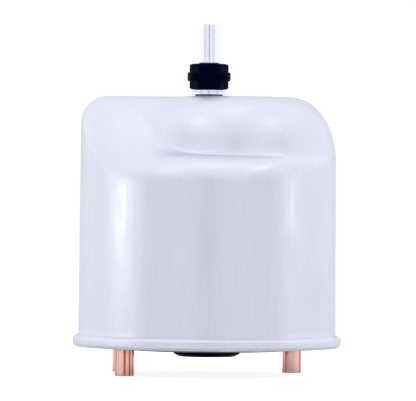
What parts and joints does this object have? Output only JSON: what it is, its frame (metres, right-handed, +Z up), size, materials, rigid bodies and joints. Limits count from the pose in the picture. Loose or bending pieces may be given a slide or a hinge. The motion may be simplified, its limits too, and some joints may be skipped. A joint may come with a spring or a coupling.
{
  "type": "magnetic system filter",
  "caption": "Cylindrical magnetic filter can with a swirl-shaped crown, rolled rim, copper pipe tails, a bleed valve on top and a magnet stack that draws out of the base.",
  "frame": {"origin": "can axis, at the height of the lower ends of the copper tails", "axes": "+Z up along the can axis to the bleed valve, -Y is the front with the low ledge of the crown, +X towards the dome of the crown"},
  "size_m": [0.141, 0.141, 0.1836],
  "materials": {
    "satin_can": "satin plated drawn sheet with a fine grain, pale lavender silver",
    "plated_steel": "zinc plated",
    "stainless": "bright stainless",
    "pole_steel": "ground mild steel",
    "nickel_magnet": "nickel plated",
    "copper": "drawn copper with fine lengthwise draw lines",
    "braze": "brazed fillet",
    "bright_plate": "bright plated and turned",
    "black_plastic": "moulded black with a blue cast",
    "rubber": "matt",
    "red_fibre": "vulcanised fibre"
  },
  "bodies": {
    "canister": {"canister_shell": "satin_can", "rim_ring": "satin_can", "body_gasket": "rubber", "base_plate": "plated_steel", "inlet_tail": "copper", "flush_tail": "copper", "outlet_tail": "copper", "inlet_braze_ring": "braze", "flush_braze_ring": "braze", "outlet_braze_ring": "braze", "inlet_elbow": "copper", "outlet_standpipe": "copper", "strainer_base": "stainless", "strainer_cage": "stainless", "strainer_cap": "stainless", "sleeve_stay": "stainless", "pocket_collar": "plated_steel", "magnet_sleeve": "stainless", "vent_boss": "bright_plate", "boss_washer": "rubber", "boss_backnut": "plated_steel", "vent_o_ring": "rubber"},
    "magnet_core": {"magnet_rod": "stainless", "core_end_plate": "pole_steel", "pole_piece_1": "pole_steel", "pole_piece_2": "pole_steel", "pole_piece_3": "pole_steel", "pole_piece_4": "pole_steel", "pole_piece_5": "pole_steel", "magnet_1": "nickel_magnet", "magnet_2": "nickel_magnet", "magnet_3": "nickel_magnet", "magnet_4": "nickel_magnet", "core_nut": "plated_steel"},
    "magnet_cap": {"magnet_cap": "black_plastic", "cap_o_ring": "rubber", "cap_washer": "red_fibre", "swivel_retainer": "plated_steel"},
    "vent_nut": {"vent_nut": "black_plastic"},
    "vent_stem": {"vent_tube": "bright_plate", "valve_disc": "rubber", "valve_plug": "stainless"}
  },
  "joints": [
    {"name": "magnet_withdraw", "type": "slide", "parent": "canister", "child": "magnet_core", "axis": [0, 0, -1], "range_m": [0, 0.105]},
    {"name": "cap_turn", "type": "hinge", "parent": "magnet_core", "child": "magnet_cap", "pos_m": [0, 0, 0.0108], "axis": [0, 0, 1], "range_deg": [-90, 0]},
    {"name": "vent_nut_turn", "type": "hinge", "parent": "canister", "child": "vent_nut", "pos_m": [0, 0, 0.156], "axis": [0, 0, 1], "range_deg": [0, 720]},
    {"name": "vent_stem_lift", "type": "slide", "parent": "canister", "child": "vent_stem", "axis": [0, 0, 1], "range_m": [0, 0.003]}
  ],
  "couplings": [
    {"joint": "vent_nut_turn", "follows": "vent_stem_lift", "rad_per_m": 4188.8}
  ]
}
